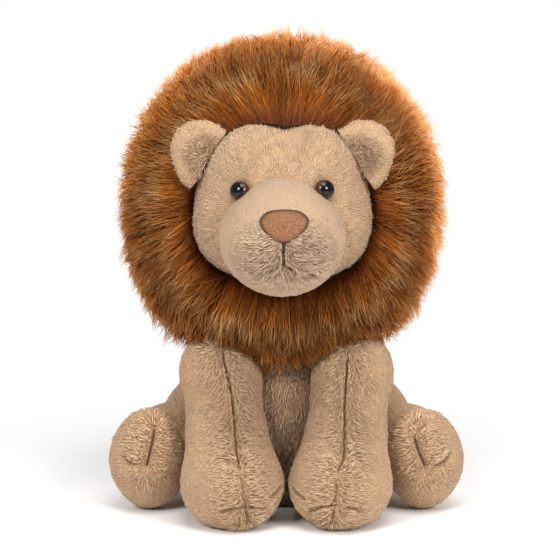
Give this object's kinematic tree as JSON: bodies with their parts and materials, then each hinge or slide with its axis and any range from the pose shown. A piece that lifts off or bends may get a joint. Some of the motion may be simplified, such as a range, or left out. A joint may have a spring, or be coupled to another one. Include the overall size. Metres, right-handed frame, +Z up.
{
  "type": "plush lion",
  "caption": "Seated stuffed toy lion with a round long-pile mane, cupped ears, straight front legs, feet out to the sides and a tufted tail.",
  "frame": {"origin": "on the flat of the seat, under the body, at the level of the floor that the toy sits on", "axes": "+Z up, -Y the way the face looks, +X to the right seen from the front"},
  "size_m": [0.2296, 0.225, 0.3105],
  "materials": {
    "beige_plush": "matte",
    "mane_fur": "matte",
    "nose_velour": "matte",
    "sewing_thread": "matte",
    "eye_plastic": "gloss",
    "washer_plastic": "matte",
    "polyester_fibre": "matte",
    "cotton_lining": "matte"
  },
  "bodies": {
    "torso": {"body_cover": "beige_plush", "body_stuffing": "polyester_fibre", "pellet_bag": "cotton_lining"},
    "neck": {"neck_stuffing": "polyester_fibre", "neck_thread": "sewing_thread"},
    "head": {"head_cover": "beige_plush", "head_stuffing": "polyester_fibre", "mane": "mane_fur", "muzzle_cover": "beige_plush", "muzzle_stuffing": "polyester_fibre", "nose": "nose_velour", "mouth_thread": "sewing_thread", "eye_left": "eye_plastic", "eye_right": "eye_plastic", "eye_washer_left": "washer_plastic", "eye_washer_right": "washer_plastic"},
    "tail": {"tail": "beige_plush", "tail_tuft": "mane_fur"},
    "ear_left": {"ear_left": "beige_plush"},
    "front_leg_left": {"front_leg_left_cover": "beige_plush", "front_leg_left_stuffing": "polyester_fibre"},
    "hind_leg_left": {"hind_leg_left_cover": "beige_plush", "hind_leg_left_stuffing": "polyester_fibre"},
    "ear_right": {"ear_right": "beige_plush"},
    "front_leg_right": {"front_leg_right_cover": "beige_plush", "front_leg_right_stuffing": "polyester_fibre"},
    "hind_leg_right": {"hind_leg_right_cover": "beige_plush", "hind_leg_right_stuffing": "polyester_fibre"}
  },
  "joints": [
    {"name": "neck_turn", "type": "hinge", "parent": "torso", "child": "neck", "pos_m": [0, 0.012, 0.075], "axis": [0, 0, 1], "range_deg": [-15, 15]},
    {"name": "head_nod", "type": "hinge", "parent": "neck", "child": "head", "pos_m": [0, 0.012, 0.075], "axis": [-1, 0, 0], "range_deg": [0, 8]},
    {"name": "tail_swing", "type": "hinge", "parent": "torso", "child": "tail", "pos_m": [0, 0.06, 0.026], "axis": [0, 0, 1], "range_deg": [-15, 25]},
    {"name": "ear_left_fold", "type": "hinge", "parent": "head", "child": "ear_left", "pos_m": [-0.0455, -0.05, 0.23], "axis": [0.5214, -0.019, 0.8531], "range_deg": [0, 35]},
    {"name": "front_leg_left_swing", "type": "hinge", "parent": "torso", "child": "front_leg_left", "pos_m": [-0.0415, -0.038, 0.086], "axis": [-1, 0, 0], "range_deg": [0, 35]},
    {"name": "hind_leg_left_lift", "type": "hinge", "parent": "torso", "child": "hind_leg_left", "pos_m": [-0.045, 0.02, 0.0435], "axis": [-1, 0, 0], "range_deg": [0, 20]},
    {"name": "ear_right_fold", "type": "hinge", "parent": "head", "child": "ear_right", "pos_m": [0.0405, -0.05, 0.23], "axis": [0.5214, 0.019, -0.8531], "range_deg": [0, 35]},
    {"name": "front_leg_right_swing", "type": "hinge", "parent": "torso", "child": "front_leg_right", "pos_m": [0.0415, -0.038, 0.086], "axis": [-1, 0, 0], "range_deg": [0, 35]},
    {"name": "hind_leg_right_lift", "type": "hinge", "parent": "torso", "child": "hind_leg_right", "pos_m": [0.045, 0.02, 0.0435], "axis": [-1, 0, 0], "range_deg": [0, 20]}
  ]
}
